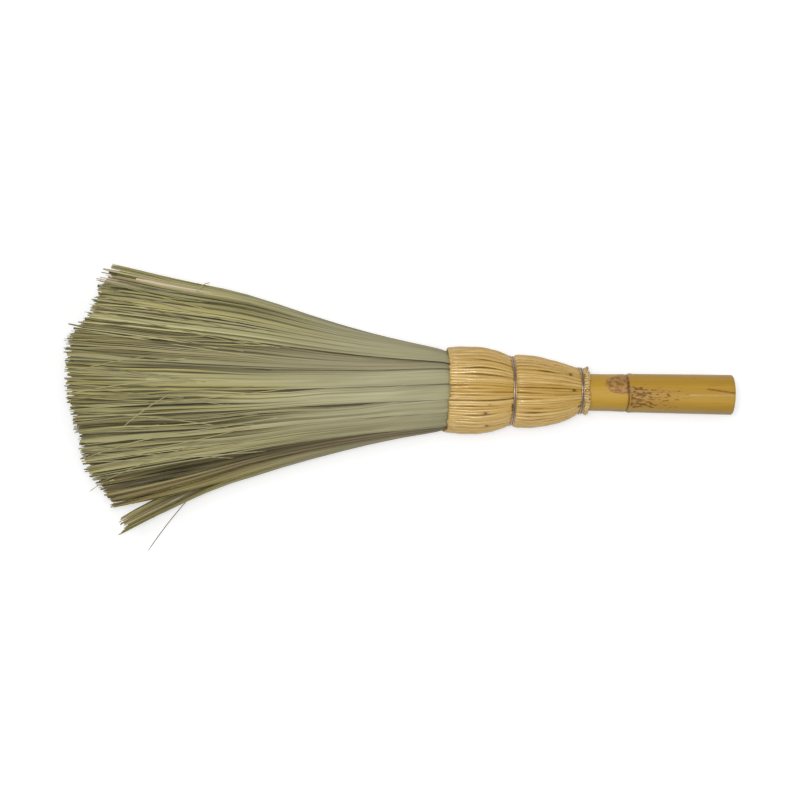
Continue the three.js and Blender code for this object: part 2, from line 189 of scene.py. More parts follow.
# Places of a strip's rings: past the rim, and then as shares of its length
STRIP_START = np.array([-40, -10, 0, 1.5, 3.5, 7]) * MM
STRIP_SHARES = np.array([0.06, 0.15, 0.24, 0.33, 0.42, 0.51, 0.6, 0.67, 0.74, 0.8, 0.86, 0.91, 0.96, 1.0])
GRAIN_RING = slice(12, 13)  # the ring whose place counts for the material's grain
FIRST_SPLIT = (65 * MM, 160 * MM)
LAST_SPLIT = 245 * MM
FLOOR_GAP = 0.8 * MM
FLOOR_SKIN = 0.15 * MM
WIDEST_GAP = 1.5 * MM
GROUP_SHARE = 0.38  # of the cracks between strips, those that part two groups
LOCK_SPLAY = 22 * MM
LOCK_LENGTH = 244 * MM
LOCK_START = 156 * MM
LOCK_ANGLES = (168, 204)
LOCK_RAGGED = 14 * MM  # how unequal its strips are, on average
TIP_RAGGED = 1.7 * MM  # the same for all others
CORNER_RAGGED = 2.5 * MM  # and how much more in the fan's upper corner
STRAY_REACH = 9  # mm to either side, for strips that stray across the others
STRAY_RISE = 2.2 * MM
INNER_SINK = 1.2 * MM
INNER_SHORTER = 4 * MM  # by which strips in the middle of the bundle end before those outside
# Fibres that lie across the rest, at both ends: distance past the rim, place across the fan and height
# over it, in mm
STRAY_FIBRES = (
    ((237, -31, 3), (204, -7, 2.5)),
    ((254, -72, 3), (176, -40, 2)),
    ((276, -8, 3), (206, 3, 2)),
    ((222, -125, -22), (190, -83, 0)),
    ((217, -99, -3), (199, -86, 0)),
    ((262, -79, 1), (244, -70, 1)),
    ((178, 76.5, 1), (187, 68.5, 1)),
)
LOOSE_FIBRES = 60
FIBRE_RADIUS = 0.3 * MM
BUNDLES = ("left", "top", "right", "bottom")

# How the leaf's colours vary, and the light and shade painted on it. Angles are degrees round the fan.
LOW_EDGE = (150, 205)
# Painted light on the strips along the fan's lower edge
LOW_EDGE_PAINTED_LIGHT = 0.34
LOW_EDGE_YELLOW = 0.22
# Painted shade along the fan's upper edge
UPPER_EDGE_SHADE = 0.35
BLANCHED = (13, 28)
BLANCHED_SHARE = 0.7
BLANCHED_LIGHT = 0.5
TAN_RANGE = (0.35, 1.25)
TAN_SHADE = 0.5
# Painted light that makes tan strips lighter again, at angles up to TAN_SIDE
TAN_SIDE = 155  # up to here the tan strips are lighter again
TAN_PAINTED_LIGHT = 0.4
# Painted shade where a blade reaches under its neighbour
TUCK_SHADE = 0.6
TUCK_SHADE_WIDTH = 1.2 * MM
# Painted shade on the inner layers: darker and browner
COVERED_SHADE = 0.58
COVERED_SHADE_BROWN = 0.35
LIGHT_RANGE = (0.2, 1.6)

# The stage
FLOOR_REACH = 6.0
FLOOR_GREY = 0.62
ROOM_LIGHT = 0.3  # of the white surroundings on the broom
# Each lamp: place from the rim, size and power
LAMPS = {
    "key": ((-0.3, 0.3, 1.6), 0.9, 11),
    "fill": ((0.5, -0.5, 1.5), 1.2, 5.5),
    "flash": ((-0.137, 0.022, 1.13), 0.1, 3.0),
}


# Shapes


def clamp(x):
    return np.clip(x, 0, 1)


def smooth(x):
    x = clamp(x)
    return x * x * (3 - 2 * x)


def mix(a, b, share):
    return a + (b - a) * share


def bell(x, width):
    return np.exp(-((x / width) ** 2))


def stacked(*values):
    """Values side by side in one array, spread to one shape."""
    return np.stack(np.broadcast_arrays(*values), -1)


def unit(v):
    return v / np.linalg.norm(v, axis=-1, keepdims=True)


def oval(along, half_width, half_depth, angle, lift=0.0):
    """Points round the handle's axis."""
    return stacked(along, half_width * np.cos(angle), half_depth * np.sin(angle) + lift)


def oval_pace(half_width, half_depth, angle):
    """Length along an oval for each radian."""
    return np.hypot(half_width * np.sin(angle), half_depth * np.cos(angle))


def oval_tangent(half_width, half_depth, angle):
    return unit(stacked(0.0, -half_width * np.sin(angle), half_depth * np.cos(angle)))


def directions(centres, across):
    """Unit directions across and outward, square to the lines through the centres."""
    path = unit(np.gradient(centres, axis=1))
    across = unit(across - path * np.sum(across * path, -1, keepdims=True))
    return across, np.cross(path, across)


def ring_turns(sides):
    """Angles of a ring's points. Four of them make a flat strip."""
    return math.tau * (np.arange(sides) + 0.5) / sides


def sections(centres, across, outward, half_across, half_outward, sides):
    """Rings of points round centrelines: flat strips with 4 sides, ovals with more."""
    reach = math.sqrt(2) if sides == 4 else 1.0
    a = reach * np.cos(ring_turns(sides)) * half_across[..., None]
    b = reach * np.sin(ring_turns(sides)) * half_outward[..., None]
    return centres[..., None, :] + across[..., None, :] * a[..., None] + outward[..., None, :] * b[..., None]


def strand_grain(across, half_width, along, own, sides):
    """Where a strand's points lie in its material: across it, along it, and by the strand's own number."""
    offset = half_width[..., None] * np.cos(ring_turns(sides))
    return stacked(across[..., None] + offset, along[..., None], own[..., None])


def tube_faces(tubes, rings, sides):
    """Quads of many closed tubes of equal build, whose points run tube by tube and ring by ring."""
    ring = np.arange(rings - 1)[:, None] * sides
    side = np.arange(sides)[None, :]
    after = (side + 1) % sides
    walls = stacked(ring + after, ring + sides + after, ring + sides + side, ring + side).reshape(-1, 4)
    i = np.arange(sides // 2 - 1)
    first = stacked(sides - 1 - i, sides - 2 - i, i + 1, i)
    last = first[:, ::-1] + (rings - 1) * sides
    one = np.concatenate([walls, first, last])
    return (one[None] + (np.arange(tubes) * rings * sides)[:, None, None]).reshape(-1, 4)


def new_object(name, data):
    thing = bpy.data.objects.new(name, data)
    bpy.context.scene.collection.objects.link(thing)
    return thing


def new_piece(name, rings, marks, grain, material, nodes, flat=False):
    """A mesh of tubes that rides on the broom. rings, marks and grain: tube, ring, side, values."""
    tubes, ring_count, sides, _ = rings.shape
    points = (rings + np.array(rim)).reshape(-1, 3)
    points[:, 2] = np.maximum(points[:, 2], FLOOR_SKIN)
    quads = tube_faces(tubes, ring_count, sides)
    mesh = bpy.data.meshes.new(name)
    mesh.vertices.add(len(points))
    mesh.vertices.foreach_set("co", points.ravel())
    mesh.loops.add(quads.size)
    mesh.loops.foreach_set("vertex_index", quads.ravel())
    mesh.polygons.add(len(quads))
    mesh.polygons.foreach_set("loop_start", np.arange(0, quads.size, 4))
    mesh.update(calc_edges=True)
    if flat:
        mesh.shade_flat()
    else:
        mesh.shade_smooth()
    marks = np.broadcast_to(marks, rings.shape[:3] + (4,)).ravel()
    grain = np.broadcast_to(grain, rings.shape).ravel()
    mesh.attributes.new("marks", "FLOAT_COLOR", "POINT").data.foreach_set("color", marks)
    mesh.attributes.new("grain", "FLOAT_VECTOR", "POINT").data.foreach_set("vector", grain)
    texture_cells(mesh, tubes, ring_count, sides)
    piece = new_object(name, mesh)
    mesh.materials.append(material)
    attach(piece, BODY)
    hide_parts(*nodes)


def texture_cells(mesh, tubes, ring_count, sides):
    """Give each tube an upright cell of its own in the texture, its length up the cell."""
    columns = math.ceil(math.sqrt(tubes * 4))
    rows = math.ceil(tubes / columns)
    index = np.empty(len(mesh.loops), dtype=np.int32)
    mesh.loops.foreach_get("vertex_index", index)
    tube, within = np.divmod(index, ring_count * sides)
    ring, side = np.divmod(within, sides)
    row, column = np.divmod(tube, columns)
    across = 0.2 + 0.6 * np.abs(2 * side / sides - 1)
    along = 0.02 + 0.96 * ring / (ring_count - 1)
    uv = stacked((column + across) / columns, (row + along) / rows)
    mesh.uv_layers.new(name="OFBake").data.foreach_set("uv", uv.astype(np.float32).ravel())


# Materials


def linear(red, green, blue):
    """A screen colour, 0 to 255, as the renderer counts it."""
    def part(v):
        v /= 255
        return v / 12.92 if v <= 0.04045 else ((v + 0.055) / 1.055) ** 2.4
    return (part(red), part(green), part(blue), 1.0)


class Shader:
    """A node material under construction."""

    def __init__(self, name):
        self.material = bpy.data.materials.new(name)
        self.material.use_nodes = True
        self.tree = self.material.node_tree
        self.surface = self.tree.nodes["Principled BSDF"]

    def set(self, node, **inputs):
        for name, value in inputs.items():
            socket = node.inputs[int(name[1:])] if name[0] == "_" else node.inputs[name.replace("_", " ")]
            if isinstance(value, bpy.types.NodeSocket):
                self.tree.links.new(value, socket)
            else:
                socket.default_value = value
        return node

    def add(self, kind, options=None, **inputs):
        node = self.tree.nodes.new("ShaderNode" + kind)
        for name, value in (options or {}).items():
            setattr(node, name, value)
        return self.set(node, **inputs)

    def finish(self, colour, roughness, **others):
        self.set(self.surface, Base_Color=colour, Roughness=roughness, **others)
        return self.material

    def marks_and_grain(self):
        """The four marks that each point of a mesh carries, and its place in the grain."""
        marks, grain = (self.add("Attribute", {"attribute_name": name}) for name in ("marks", "grain"))
        split = self.add("SeparateColor", Color=marks.outputs["Color"])
        return *split.outputs, marks.outputs["Alpha"], grain.outputs["Vector"]

    def noise(self, vector, scale, detail):
        node = self.add("TexNoise", Vector=vector, Scale=scale, Detail=detail, Roughness=0.55)
        return node.outputs["Fac"]

    def streaks(self, vector, scales, detail):
        """Noise that is finer one way than another."""
        stretched = self.add("Mapping", Vector=vector, Scale=scales).outputs["Vector"]
        return self.noise(stretched, 1.0, detail)

    def spread(self, value, low, high, to_low=0.0, to_high=1.0):
        return self.add("MapRange", _0=value, _1=low, _2=high, _3=to_low, _4=to_high).outputs[0]

    def math(self, operation, a, b):
        return self.add("Math", {"operation": operation}, _0=a, _1=b).outputs[0]

    def times(self, a, b):
        return self.math("MULTIPLY", a, b)

    def blend(self, share, a, b, way="MIX"):
        node = self.add("Mix", {"data_type": "RGBA", "blend_type": way}, _0=share, _6=a, _7=b)
        return node.outputs[2]

    def bump(self, height, distance):
        return self.add("Bump", Height=height, Distance=distance, Strength=1.0).outputs["Normal"]


def leaf_material():
    s = Shader("dried_palm_leaf")
    yellowness, along, brownness, light, grain = s.marks_and_grain()
    veins = s.streaks(grain, (650, 7, 37), 4.0)
    lines = s.streaks(grain, (700, 4, 53), 2.0)
    cloud = s.streaks(grain, (160, 14, 11), 2.0)
    patches = s.spread(cloud, 0.35, 0.65)
    sage = s.blend(patches, linear(155, 150, 115), linear(171, 166, 131))
    olive = s.blend(patches, linear(150, 146, 106), linear(165, 161, 122))
    base = s.blend(s.spread(along, 0.2, 0.8), sage, olive)
    base = s.blend(yellowness, base, linear(180, 168, 94))
    base = s.blend(brownness, base, s.blend(along, linear(132, 113, 91), linear(114, 87, 20)))
    vein_depth = s.spread(along, 0.15, 0.7, 0.2, 0.5)
    base = s.blend(s.times(s.spread(veins, 0.35, 0.7), vein_depth), base, linear(100, 94, 58))
    # Painted shade: thin near-black lines along the strips, as in fine splits between them, stronger further
    # from the rim
    line_depth = s.spread(along, 0.12, 0.7, 0.15, 1.0)
    base = s.blend(s.times(s.spread(lines, 0.52, 0.6), line_depth), base, linear(64, 58, 18))
    # The light mark is each strip's own tone with painted light and shade in it. Where it is highest the
    # strips are also paler and pinker.
    base = s.blend(s.spread(light, 1.44, 1.6, 0.0, 0.9), base, linear(176, 158, 142))
    grey = s.add("CombineColor", Red=light, Green=light, Blue=light).outputs[0]
    base = s.blend(1.0, base, grey, "MULTIPLY")
    roughness = s.spread(veins, 0.2, 0.8, 0.5, 0.72)
    return s.finish(base, roughness, Normal=s.bump(veins, 0.06 * MM), Specular_IOR_Level=0.35)


def straw_material():
    s = Shader("golden_straw")
    paleness_and_glint, along, scar, _, grain = s.marks_and_grain()
    fibres = s.streaks(grain, (2400, 26, 51), 4.0)
    cloud = s.streaks(grain, (300, 60, 17), 3.0)
    # Each straw's own paleness, with a painted highlight where it is creased
    base = s.blend(paleness_and_glint, linear(194, 157, 64), linear(219, 187, 115))
    base = s.blend(s.spread(cloud, 0.45, 0.75, 0.0, 0.5), base, linear(176, 134, 62))
    base = s.blend(s.spread(fibres, 0.35, 0.75, 0.0, 0.5), base, linear(154, 112, 48))
    base = s.blend(scar, base, linear(92, 56, 8))
    base = s.blend(s.spread(along, 0.955, 1.0, 0.0, 0.35), base, linear(186, 172, 138))
    roughness = s.spread(fibres, 0.25, 0.75, 0.4, 0.55)
    shine = {"Specular_IOR_Level": 0.4, "Coat_Weight": 0.6, "Coat_Roughness": 0.14}
    return s.finish(base, roughness, Normal=s.bump(fibres, 0.05 * MM), **shine)


def wire_material():
    s = Shader("galvanised_wire")
    place = s.add("TexCoord").outputs["Object"]
    mottle = s.noise(place, 900, 3.0)
    dirt = s.noise(place, 260, 2.0)
    base = s.blend(s.spread(mottle, 0.35, 0.65), linear(148, 128, 110), linear(188, 170, 152))
    base = s.blend(s.spread(dirt, 0.55, 0.75, 0.0, 0.6), base, linear(126, 106, 86))
    roughness = s.spread(mottle, 0.3, 0.7, 0.28, 0.46)
    return s.finish(base, roughness, Normal=s.bump(mottle, 0.03 * MM), Metallic=0.85)


def bamboo_material():
    s = Shader("bamboo_skin")
    scar, node_line, cut, speck_share, grain = s.marks_and_grain()
    fibres = s.streaks(grain, (1500, 5, 1500), 5.0)
    bands = s.streaks(grain, (160, 6, 160), 2.0)
    specks = s.streaks(grain, (800, 240, 800), 2.0)
    cracks = s.streaks(grain, (900, 22, 900), 2.0)
    blotches = s.streaks(grain, (170, 110, 170), 4.0)
    base = s.blend(s.spread(bands, 0.35, 0.65), linear(176, 136, 45), linear(190, 150, 58))
    base = s.blend(s.spread(fibres, 0.5, 0.78, 0.0, 0.5), base, linear(152, 108, 38))
    base = s.blend(s.spread(cracks, 0.7, 0.76, 0.0, 0.6), base, linear(108, 72, 30))
    across, along, _ = s.add("SeparateXYZ", Vector=grain).outputs
    base = s.blend(s.spread(along, CULM_NODE - 8 * MM, CULM_NODE, 0.4, 0.0), base, linear(200, 159, 62))
    # Painted reflection and shade: greyer and darker towards the -Y side
    base = s.blend(s.spread(across, -0.6 * grip_radius, -grip_radius, 0.0, 0.6), base, linear(136, 118, 76))
    tint = s.times(s.times(speck_share, speck_share), 0.6)
    base = s.blend(tint, base, linear(164, 120, 78))
    speck_edge = s.spread(speck_share, 0.0, 1.0, 0.73, 0.43)
    over = s.math("SUBTRACT", specks, speck_edge)
    base = s.blend(s.spread(over, 0.0, 0.05, 0.0, 0.75), base, linear(88, 56, 22))
    ragged = s.math("ADD", scar, s.spread(blotches, 0.25, 0.75, -0.45, 0.45))
    patch = s.spread(ragged, 0.5, 0.58)
    patch_edge = s.times(s.spread(ragged, 0.46, 0.52), s.spread(ragged, 0.7, 0.6))
    mottle = s.streaks(grain, (420, 300, 420), 3.0)
    bark = s.blend(s.spread(mottle, 0.42, 0.58), linear(130, 90, 50), linear(178, 136, 80))
    base = s.blend(s.times(patch, 0.9), base, bark)
    base = s.blend(s.times(patch_edge, 0.45), base, linear(116, 76, 40))
    base = s.blend(node_line, base, linear(92, 58, 24))
    pith = s.blend(s.spread(specks, 0.45, 0.7, 0.0, 0.6), linear(214, 186, 130), linear(160, 122, 72))
    base = s.blend(cut, base, pith)
    roughness = s.spread(blotches, 0.3, 0.7, 0.34, 0.46)
    return s.finish(base, roughness, Normal=s.bump(fibres, 0.05 * MM), Specular_IOR_Level=0.28)


def steel_material():
    s = Shader("drawn_steel")
    place = s.add("TexCoord").outputs["Object"]
    drawn = s.streaks(place, (900, 900, 60), 3.0)
    base = s.blend(drawn, linear(120, 116, 112), linear(164, 160, 156))
    return s.finish(base, s.spread(drawn, 0.3, 0.7, 0.3, 0.5), Metallic=1.0)


# The sleeve of straws


def flattening(along):
    return THROAT_FLATTENING * clamp((TIE_EDGE - along) / TIE_EDGE)


def neck_rise(angle):
    """More straws lie on one side of the neck than on the other."""
    return NECK_SPARE + NECK_LEAN * np.cos(angle)


def sleeve_radius(along, angle):
    """Outside of the sleeve: a bulge, the middle wire's waist, a dome and the frill past the neck wire."""
    waist = middle_outside - 1.3 * WIRE_RADIUS
    neck = neck_outside - 2 * WIRE_RADIUS + neck_rise(angle)
    before = bulge_radius - RIM_DROP * clamp(1 - along / BULGE_AT) ** 2
    share = clamp((along - BULGE_AT) / (middle_at - WIRE_SEAT - BULGE_AT))
    fall = mix(bulge_radius, waist, share**2.2)
    share = clamp((along - middle_at - WIRE_SEAT) / (neck_at - middle_at - 2 * WIRE_SEAT))
    shoulder = waist + DOME_RISE * np.sin(math.pi * share**DOME_PEAK)
    dome = mix(shoulder, neck, share ** (DOME_FALL - DOME_LEAN * np.cos(angle)))
    share = np.clip((along - neck_at - WIRE_SEAT) / (sleeve_end - neck_at - WIRE_SEAT), 0, None)
    frill = neck + FRILL_FLARE * share
    return np.select([along < BULGE_AT, along < middle_at, along < neck_at], [before, fall, dome], frill)


def straw_stations(knots, ends):
    """Where each straw's rings lie along its outer leg, closer together at its knot, crease and wires."""
    share = np.linspace(0, 1, STRAW_RINGS)[None, :]
    even = FOLD_AT + share * (ends - FOLD_AT)
    at_knot = knots + CLOSE_RINGS
    at_wire = np.array([[middle_at], [neck_at]]) + WIRE_RINGS
    fixed = np.append(at_wire.ravel(), CREASE + CLOSE_RINGS)
    fixed = np.broadcast_to(fixed, (len(ends), fixed.size))
    return np.sort(np.concatenate([even, at_knot, fixed], 1), 1)


def waves(count, stations, lengths):
    """Slow random bends, from -1 to 1, one row for each strand."""
    total = np.zeros_like(stations)
    for length in lengths:
        phase = chance.uniform(0, math.tau, (count, 1))
        total += np.sin(math.tau * stations / length + phase)
    return total / len(lengths)


def straw_sleeve(material):
    pitch = math.tau / STRAWS
    each = (STRAWS, 1)
    order = np.arange(STRAWS)[:, None]
    angle = order * pitch + chance.uniform(-0.22, 0.22, each) * pitch
    size = chance.uniform(0.88, 1.14, each)
    under = order % 2  # every other straw sinks where the sleeve narrows
    ends = sleeve_end + chance.uniform(-3.0, -0.6, each) * MM
    knots = chance.uniform(0.08, 0.93, each) * sleeve_end
    knot_shows = (chance.random(each) < 0.2) * chance.uniform(0.3, 0.8, each)
    for place, turned in SEEN_KNOTS:
        nearest = np.argmin(np.abs(angle - math.radians(turned)))
        knots[nearest], knot_shows[nearest] = place * MM, 1.1
    outer = straw_stations(knots, ends)
    turn = np.linspace(-0.5, 0.5, FOLD_RINGS)[None, :] * math.pi
    rim_shift = chance.normal(0, 0.35, each) * MM
    ragged_corner = bell(angle - math.pi - 0.25, 0.3)
    rim_shift -= ragged_corner * chance.uniform(0.5, 3.4, each) * MM
    fold_radius = bulge_radius - RIM_DROP - FOLD_THICKNESS - FOLD_RADIUS
    fold_along = FOLD_AT - FOLD_RADIUS * np.cos(turn) + rim_shift
    fold_out = fold_radius + FOLD_RADIUS * np.sin(turn) + 0 * rim_shift
    inner = np.array([INNER_LEG, INNER_LEG / 2, INNER_LEG / 4])[None, :] + 0 * rim_shift
    inner_out = fold_radius - FOLD_RADIUS - (inner - FOLD_AT) * INNER_LEAN
    press = 1 - WIRE_PRESS * bell(outer - middle_at, PRESS_LENGTH)
    press -= WIRE_PRESS * bell(outer - neck_at, PRESS_LENGTH)
    knot_near = bell(outer - knots, KNOT_LENGTH) * knot_shows
    half = STRAW_RADIUS * size * (1 - STRAW_TAPER * outer / sleeve_end)
    half_out = half * press * (1 + 0.12 * knot_near)
    outside = sleeve_radius(outer, angle)
    room = math.tau * (outside - half) / STRAWS
    crowding = mix(2.05, 2.6, smooth((outer - middle_at) / (12 * MM)))
    sink = under * np.clip(crowding * half - room, 0, DEEPEST_SINK)
    outer_out = outside - half_out - sink + STRAW_WAVE * waves(STRAWS, outer, (0.05, 0.021))
    creased = (chance.random(each) < 0.5) * bell(outer - CREASE, CREASE_LENGTH)
    outer_out = outer_out + CREASE_RISE * creased
    ease = smooth((outer - FOLD_AT) / FOLD_EASE)
    outer_out = mix(fold_radius + FOLD_RADIUS, outer_out, ease)
    half_out = mix(FOLD_THICKNESS, half_out, ease)
    half_wide = mix(FOLD_WIDTH, 1.07 * half, ease) * (1 + 0.1 * knot_near)
    along = np.concatenate([inner, fold_along, outer[:, 1:] + rim_shift * (1 - ease[:, 1:])], 1)
    out = np.concatenate([inner_out, fold_out, outer_out[:, 1:]], 1)

    def from_fold(value, rest):
        before = np.full((STRAWS, inner.shape[1] + fold_along.shape[1]), value)
        return np.concatenate([before, rest[:, 1:]], 1)

    half_wide, half_out = from_fold(FOLD_WIDTH, half_wide), from_fold(FOLD_THICKNESS, half_out)
    wander = waves(STRAWS, along, (0.09, 0.16)) * pitch
    wander = wander * chance.choice([0.3, 0.75], each, p=[0.7, 0.3])
    around = angle + wander * smooth((along - 2 * MM) / (20 * MM))
    flat = flattening(along)
    centres = oval(along, out, out - flat, around)
    across, outward = directions(centres, oval_tangent(out, out - flat, around))
    rings = sections(centres, across, outward, half_wide, half_out, STRAW_SIDES)
    share = clamp(along / sleeve_end)
    scar = from_fold(0.0, knot_near)
    paleness_and_glint = clamp(chance.normal(0.5, 0.4, each))
    # Painted highlight: creased straws are paler at the crease, as glints
    paleness_and_glint = np.clip(paleness_and_glint + from_fold(0.0, creased), 0, 1.6)
    marks = stacked(paleness_and_glint, share, np.clip(scar * 1.1, 0, 0.9), 1.0)[:, :, None]
    own = order * 0.61
    grain = strand_grain(own, STRAW_RADIUS * size, along, own, STRAW_SIDES)
    stalks = sorted(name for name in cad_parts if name.startswith("sleeve_stalk"))
    new_piece("straw_sleeve", rings, marks, grain, material, stalks)


# Wires


def bound_wire(node, at, outside, rise, material):
    """Two turns of wire, which lie together on top and apart underneath, where the ends are."""
    share = np.linspace(0, 1, WIRE_STEPS)
    start = -math.pi / 2 - (WIRE_TURNS % 1) * math.pi
    angle = start + math.tau * WIRE_TURNS * share
    apart = TURNS_APART * (1 - np.sin(angle)) / 2 * (1 - smooth((share - 0.4) / 0.2))
    along = at + WIRE_PITCH * WIRE_TURNS * (share - 0.5) - apart
    radius = outside - WIRE_RADIUS + rise(angle) + 0.3 * apart + 0.1 * MM * np.sin(3 * angle + 1)
    centres = oval(along, radius, radius, angle)[None]
    across, outward = directions(centres, np.array([1.0, 0, 0]))
    order = np.arange(WIRE_STEPS)
    ends = np.clip(np.minimum(order, order[::-1]) / 1.5, 0.35, 1)
    half = (WIRE_RADIUS * np.sqrt(ends))[None]
    rings = sections(centres, across, outward, half, half, WIRE_SIDES)
    new_piece(node + "_turns", rings, np.ones(4), np.zeros(3), material, [node])


# The handle


def culm_profile():
    """Along and radius of the culm: bore, foot, skin with its node, cut end and bore again."""
    foot_bore = FOOT_RADIUS - CULM_WALL
    grip_bore = grip_radius - CULM_WALL
    below, above = CULM_NODE - SEPTUM, CULM_NODE + SEPTUM
    hollow_foot = [(below, PINHOLE), (below, foot_bore), (handle_foot, foot_bore)]
    foot = [(handle_foot, FOOT_RADIUS - CULM_EDGE), (handle_foot + CULM_EDGE, FOOT_RADIUS)]
    even = np.linspace(handle_foot + 4 * MM, handle_end - 2 * MM, 110)
    skin = np.sort(np.append(even, CULM_NODE + np.linspace(-5, 5, 41) * MM))
    before = smooth((skin - CULM_NODE + 16 * MM) / (15 * MM)) * 0.3 * MM
    grip_end = grip_radius + GRIP_SPARE
    grip = grip_end - GRIP_TAPER * (handle_end - skin) / (handle_end - CULM_NODE)
    radius = mix(FOOT_RADIUS + before, grip, smooth((skin - CULM_NODE) / (3 * MM)))
    ridge = bell(skin - CULM_NODE - 1.5 * MM, 1.6 * MM)
    groove = bell(skin - CULM_NODE + NODE_GROOVE, 0.8 * MM)
    radius = radius + 0.5 * MM * ridge - 0.35 * MM * groove
    end = [(handle_end - CULM_EDGE, grip_end), (handle_end, grip_end - CULM_EDGE)]
    hollow_grip = [(handle_end, grip_bore), (above, grip_bore), (above, PINHOLE)]
    return np.array(hollow_foot + foot + list(zip(skin, radius)) + end + hollow_grip)


def bamboo_handle(material):
    profile = culm_profile()
    along, radius = profile[:, :1], profile[:, 1:]
    angle = (math.tau * np.arange(CULM_SIDES) / CULM_SIDES)[None, :]
    past_node = along - CULM_NODE
    skin = (radius > grip_radius - CULM_WALL + 0.5 * MM) & (along < handle_end - 0.1 * MM)

    def near(degrees, half_width):
        return np.exp(-(((angle - np.radians(degrees)) / np.radians(half_width)) ** 4))

    crack_share = (along - handle_end + CRACK_LENGTH) / CRACK_LENGTH
    crack = near(74 + 11 * crack_share, 2.2) * (crack_share > 0) * skin
    shape = 1 + 0.006 * np.cos(2 * angle + 0.6) + 0.003 * np.cos(5 * angle)
    reach = radius * shape / shape.max() - 0.2 * MM * crack
    wobble = 0.6 * MM * np.sin(angle - 0.2) + 0.3 * MM * np.sin(3 * angle + 2)
    rings = oval(along + bell(past_node, 6 * MM) * wobble, reach, reach, angle)[None]
    node_line = bell(past_node + NODE_GROOVE, 0.7 * MM) * skin
    scar_share = 1 + past_node / SCAR_LENGTH
    scar = near(58, mix(6, 37, smooth(scar_share / 0.5)))
    scar = scar * smooth(scar_share * 4) * smooth((1.03 - scar_share) * 20) * skin
    specks = clamp(1 - past_node / SPECKS_LENGTH) * (past_node > 0) * skin
    specks = specks * mix(0.1, 1, near(106, 37))
    dark = np.maximum(0.9 * node_line, 0.8 * crack)
    scratch = 0.6 * near(93, 1.6) * (along > handle_end - SCRATCH_LENGTH) * skin
    marks = stacked(scar, dark, np.maximum(1.0 - skin, scratch), specks)[None]
    grain = stacked(grip_radius * np.cos(angle), along, grip_radius * np.sin(angle))[None]
    new_piece("bamboo_culm", rings, marks, grain, material, ["bamboo_handle"])


# The leaf fan


def curve(x, stations):
    """A smooth line through a few stations."""
    at, value = np.array(stations).T * MM
    slope = np.gradient(value, at)
    i = np.clip(np.searchsorted(at, x) - 1, 0, len(at) - 2)
    step = at[i + 1] - at[i]
    s = clamp((x - at[i]) / step)
    rise = value[i + 1] - value[i]
    bend = (slope[i] * step - rise) * (1 - s) - (slope[i + 1] * step - rise) * s
    return value[i] + s * rise + s * (1 - s) * bend


def tip_shortfall(across):
    """How much shorter than the fan's reach the tips are, at a place across it."""
    return np.interp(across, *(np.array(TIP_OUTLINE).T * MM))


def fan_section(distance):
    """Half width, half depth and lift of the fan at a distance past the rim. Inside the sleeve it is less."""
    past = np.maximum(distance, 0)
    unswollen = SWELL * np.exp(-past / SWELL_LENGTH)
    half_width = curve(past, FAN_HALF_WIDTHS) - unswollen
    rim_depth = FAN_HALF_WIDTHS[0][1] * MM - THROAT_FLATTENING
    half_depth = mix(rim_depth, FAN_HALF_DEPTH, past / fan_length) - unswollen
    inside = clamp(-distance / TIE_EDGE)
    lift = TIP_LIFT * past / fan_length
    return mix(half_width, TIE_RADIUS, inside), mix(half_depth, TIE_RADIUS, inside), lift


def even_angles(count, offset):
    """Angles at nearly even distances round a layer."""
    fine = np.linspace(0, math.tau, 721)
    half_width, half_depth, _ = fan_section(0.3 * fan_length)
    weight = np.cumsum(oval_pace(half_width, half_depth, fine))
    weight = (weight - weight[0]) / (weight[-1] - weight[0])
    wanted = (np.arange(count) + offset + chance.uniform(-0.16, 0.16, count)) / count
    return np.sort(np.interp(wanted % 1, weight, fine))


def layer_blades(rank, layer):
    """Each blade's lower edge: angles at the rim, half way and at the tips, the blade's tan and the slot."""
    if rank > 0:
        return other_blades(even_angles(max(3, round(BLADES_IN_LAYER * layer)), 0.5 * rank))
    degree = math.pi / 180
    seen = np.array(TOP_BLADES) * np.array([degree, degree, degree, 1, MM])
    under = np.linspace(seen[-1, 0], seen[0, 0] + math.tau - FIRST_BLADE, BLADES_UNDER + 1)[1:]
    return np.concatenate([seen, other_blades(under)])


def other_blades(rim_angles):
    """The same for blades that aren't seen one by one."""
    count = len(rim_angles)
    half_angles = rim_angles + chance.normal(0, 0.03, count)
    tan = chance.uniform(0, 0.2, count) + 0.25 * (chance.random(count) < 0.2)
    return stacked(rim_angles, half_angles, half_angles, tan, chance.uniform(-0.6, 1.4, count) * MM)


def edge_angle(edge, distance):
    """A blade's edge runs straight as far as half way, so its angle changes less and less."""
    past = np.clip(distance, 0, HALF_WAY)
    share = past / HALF_WAY * fan_section(HALF_WAY)[0] / fan_section(past)[0]
    late = np.clip((distance - HALF_WAY) / (FAN_REACH - HALF_WAY), 0, None)
    return mix(edge[0], edge[1], share) + (edge[2] - edge[1]) * late


def overlap(before, distance):
    """How far a blade reaches under its neighbour. Further out a slot opens between them."""
    first, last = SLOT_START
    opening = before[4] * (1 + np.sin(distance / (17 * MM) + 40 * before[0]))
    return mix(BLADE_TUCK, -opening, smooth((distance - first) / (last - first)))


def blade_width(layer, before, own, distance):
    half_width, half_depth, _ = fan_section(distance)
    start, end = edge_angle(before, distance), edge_angle(own, distance)
    between = (end - start) * oval_pace(layer * half_width, layer * half_depth, (start + end) / 2)
    return between + overlap(before, distance)


def strip_stations(lengths):
    """Distances of each strip's rings past the rim. The first ones lie inside the sleeve."""
    start = np.broadcast_to(STRIP_START, (len(lengths), len(STRIP_START)))
    return np.concatenate([start, STRIP_SHARES * lengths[:, None]], 1)


